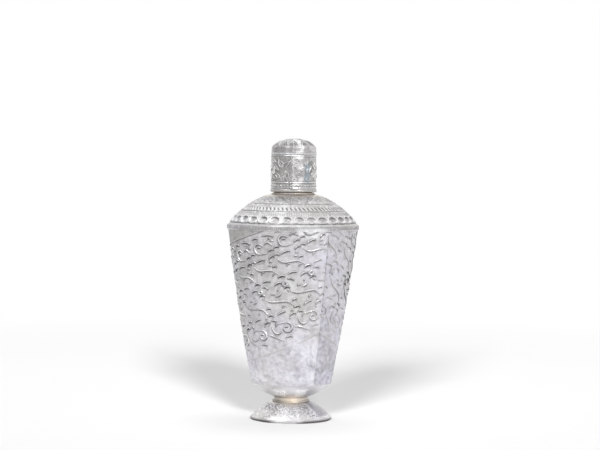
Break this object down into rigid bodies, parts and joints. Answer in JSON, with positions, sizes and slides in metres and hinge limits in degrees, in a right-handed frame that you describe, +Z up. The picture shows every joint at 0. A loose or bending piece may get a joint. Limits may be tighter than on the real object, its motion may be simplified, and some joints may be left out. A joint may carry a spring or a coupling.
{
  "type": "sindoor box",
  "caption": "Footed silver bottle for vermilion powder, with a conical chased wall, a domed shoulder and a lift-off cap that carries an applicator rod.",
  "frame": {"origin": "centre of the foot's underside, on the surface that the bottle stands on", "axes": "+Z up along the bottle's axis; +X to the right and -Y towards the viewer in the picture"},
  "size_m": [0.047, 0.047, 0.1],
  "materials": {
    "embossed_silver": "chased silver sheet, pickled matte ground",
    "polished_silver": "hand polished silver, lightly tarnished",
    "plain_silver": "plain worn silver"
  },
  "bodies": {
    "vessel": {"foot_rim_wire": "polished_silver", "foot_skirt": "embossed_silver", "stem_tube": "polished_silver", "stem_ring": "polished_silver", "bowl": "polished_silver", "body_wall": "embossed_silver", "rim_band": "embossed_silver", "shoulder": "embossed_silver", "neck_tube": "plain_silver", "neck_collar": "polished_silver"},
    "applicator": {"applicator_disc": "plain_silver", "applicator_ferrule": "plain_silver", "applicator_rod": "plain_silver", "applicator_tip": "plain_silver"},
    "cap": {"cap_mouth_ring": "polished_silver", "cap_wall": "embossed_silver", "cap_liner": "plain_silver", "cap_dome_bead": "polished_silver", "cap_dome": "embossed_silver"}
  },
  "joints": [
    {"name": "cap_lift", "type": "slide", "parent": "vessel", "child": "applicator", "axis": [0, 0, 1], "range_m": [0, 0.084]},
    {"name": "cap_turn", "type": "hinge", "parent": "applicator", "child": "cap", "pos_m": [0, 0, 0.0936], "axis": [0, 0, 1], "continuous": true}
  ]
}
